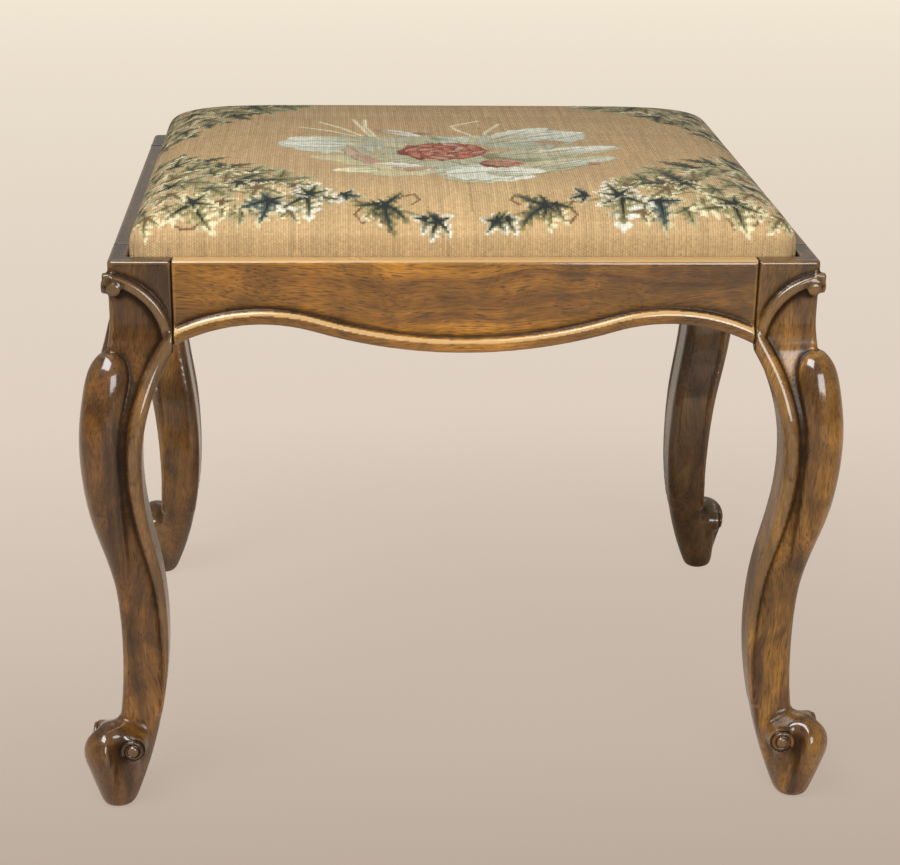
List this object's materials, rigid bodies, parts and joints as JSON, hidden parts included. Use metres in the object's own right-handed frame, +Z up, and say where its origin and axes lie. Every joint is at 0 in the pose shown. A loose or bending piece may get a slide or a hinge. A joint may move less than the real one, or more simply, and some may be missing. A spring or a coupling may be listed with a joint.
{
  "type": "dressing stool",
  "caption": "Dressing stool with carved cabriole legs on scroll feet, beaded serpentine rails and a drop-in seat in floral wool needlework",
  "frame": {"origin": "on the floor, under the middle of the seat", "axes": "+X along the long rails, to the right seen from the front; +Y to the rear; +Z up"},
  "size_m": [0.589, 0.493, 0.485],
  "materials": {
    "walnut": "polished golden-brown walnut",
    "beech": "plain sawn",
    "steel": "dull",
    "blued_steel": "blued",
    "jute_webbing": "coarse twill weave",
    "hessian": "open plain weave",
    "horsehair": "curled hair",
    "calico": "unbleached plain weave",
    "wool_needlework": "tan wool stitches with a floral pattern"
  },
  "bodies": {
    "frame": {"corner_block_front_left": "beech", "corner_block_front_right": "beech", "corner_block_rear_left": "beech", "corner_block_rear_right": "beech", "corner_block_screws": "steel", "dowels_front_left": "beech", "dowels_front_right": "beech", "dowels_rear_left": "beech", "dowels_rear_right": "beech", "leg_front_left": "walnut", "leg_front_right": "walnut", "leg_rear_left": "walnut", "leg_rear_right": "walnut", "rail_front": "walnut", "rail_left": "walnut", "rail_rear": "walnut", "rail_right": "walnut"},
    "seat": {"calico": "calico", "cover_tacks": "blued_steel", "hessian": "hessian", "horsehair_stuffing": "horsehair", "needlework_cover": "wool_needlework", "seat_frame_front": "beech", "seat_frame_left": "beech", "seat_frame_rear": "beech", "seat_frame_right": "beech", "webbing_cross_1": "jute_webbing", "webbing_cross_2": "jute_webbing", "webbing_cross_3": "jute_webbing", "webbing_cross_4": "jute_webbing", "webbing_long_1": "jute_webbing", "webbing_long_2": "jute_webbing", "webbing_long_3": "jute_webbing", "webbing_tacks": "blued_steel"}
  },
  "joints": [
    {"name": "seat_lift", "type": "slide", "parent": "frame", "child": "seat", "axis": [0, 0, 1], "range_m": [0, 0.08]}
  ]
}
